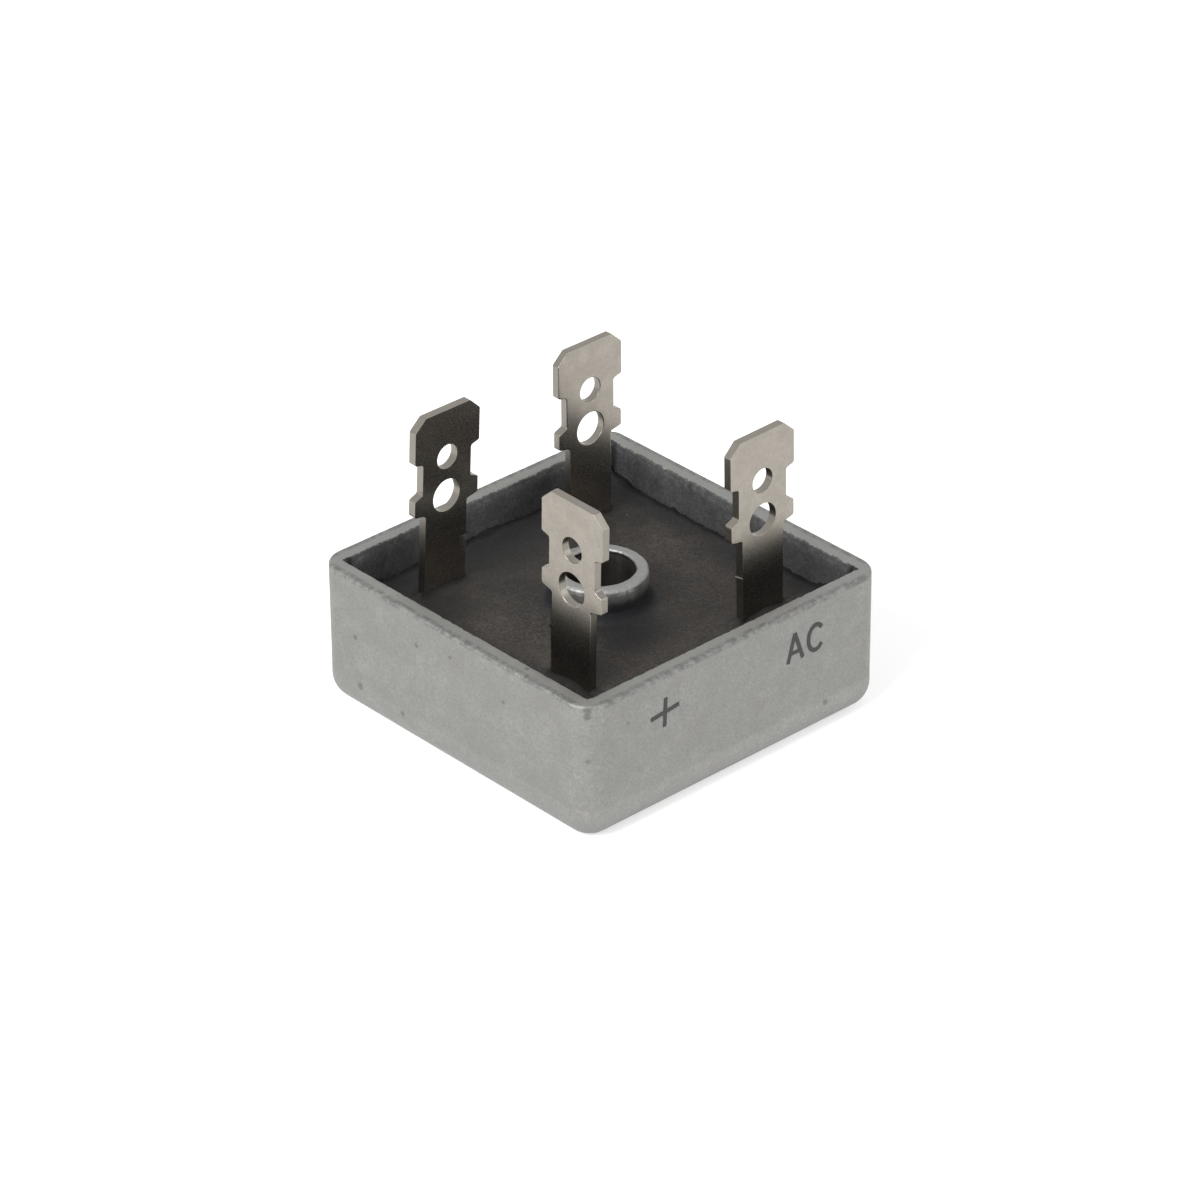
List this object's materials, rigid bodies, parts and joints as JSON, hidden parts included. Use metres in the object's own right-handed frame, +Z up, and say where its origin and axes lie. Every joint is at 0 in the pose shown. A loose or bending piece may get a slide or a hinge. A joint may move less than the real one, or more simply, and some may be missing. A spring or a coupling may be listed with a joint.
{
  "type": "square bridge rectifier with tab terminals",
  "caption": "Potted bridge rectifier in a square metal cup, with a screw hole through its centre and a stamped tab terminal at each corner.",
  "frame": {"origin": "centre of the underside of the case, on the axis of the screw hole", "axes": "+Z up out of the underside towards the tips of the terminals; X and Y along the sides of the case, with the marked face at -Y and the positive terminal in the corner at -X, -Y"},
  "size_m": [0.0286, 0.0286, 0.0231],
  "materials": {
    "case": "matte cast, faintly mottled",
    "potting": "matte cast epoxy, dark brown",
    "ceramic": "fired ceramic",
    "copper": "rolled copper",
    "chip": "polished silicon",
    "solder": "dull solder",
    "terminal": "satin tin plate on a copper alloy"
  },
  "bodies": {
    "root": {"case": "case", "potting": "potting", "insulator": "ceramic", "positive_plate": "copper", "negative_plate": "copper", "ac_link_1": "copper", "ac_link_2": "copper", "diode_chip_1": "chip", "diode_chip_2": "chip", "diode_chip_3": "chip", "diode_chip_4": "chip", "chip_solder_lower_1": "solder", "chip_solder_lower_2": "solder", "chip_solder_lower_3": "solder", "chip_solder_lower_4": "solder", "chip_solder_upper_1": "solder", "chip_solder_upper_2": "solder", "chip_solder_upper_3": "solder", "chip_solder_upper_4": "solder", "terminal_positive": "terminal", "terminal_ac_1": "terminal", "terminal_negative": "terminal", "terminal_ac_2": "terminal", "foot_solder_positive": "solder", "foot_solder_ac_1": "solder", "foot_solder_negative": "solder", "foot_solder_ac_2": "solder"}
  },
  "joints": []
}
